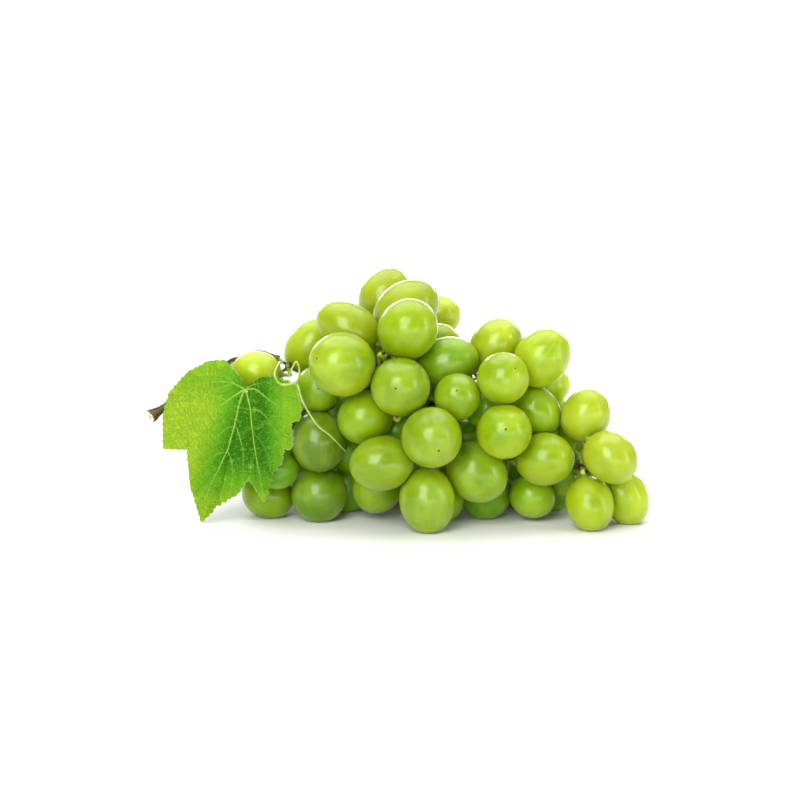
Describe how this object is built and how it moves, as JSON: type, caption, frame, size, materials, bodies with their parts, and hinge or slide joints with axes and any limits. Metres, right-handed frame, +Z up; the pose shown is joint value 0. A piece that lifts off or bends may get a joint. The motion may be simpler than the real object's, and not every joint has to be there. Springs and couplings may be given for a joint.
{
  "type": "bunch of white table grapes",
  "caption": "Bunch of oval green grapes lying on its side, with a toothed vine leaf, a forked tendril and a stub of woody shoot.",
  "frame": {"origin": "on the surface that the bunch lies on, under the middle of its bounding box", "axes": "+X along the bunch from the cut shoot to its narrow end, +Y to the back, away from the leaf, +Z up"},
  "size_m": [0.1971, 0.1161, 0.0966],
  "materials": {
    "grape_skin": "smooth translucent yellow-green fruit skin with a thin waxy bloom",
    "green_stem": "satin, ribbed green stem that turns brown at its joints",
    "woody_shoot": "matt, fibrous brown bark with a pale cut end",
    "vine_leaf": "satin, thin translucent green blade with raised pale veins",
    "tendril_green": "satin pale green, smooth"
  },
  "bodies": {
    "root": {"cane": "woody_shoot", "rachis": "green_stem", "tendril": "tendril_green", "leaf": "vine_leaf", "spray_crown_front": "grape_skin", "spray_crown_top": "grape_skin", "spray_middle_front": "grape_skin", "spray_belly_front": "grape_skin", "spray_right_top": "grape_skin", "spray_right_front": "grape_skin", "spray_tip": "grape_skin", "spray_left_front": "grape_skin", "spray_left_foot": "grape_skin", "spray_wing": "grape_skin", "spray_rear_left": "grape_skin", "spray_rear_crown": "grape_skin", "spray_rear_middle": "grape_skin", "spray_rear_shoulder": "grape_skin", "spray_rear_right": "grape_skin", "spray_rear_tip": "grape_skin"}
  },
  "joints": []
}
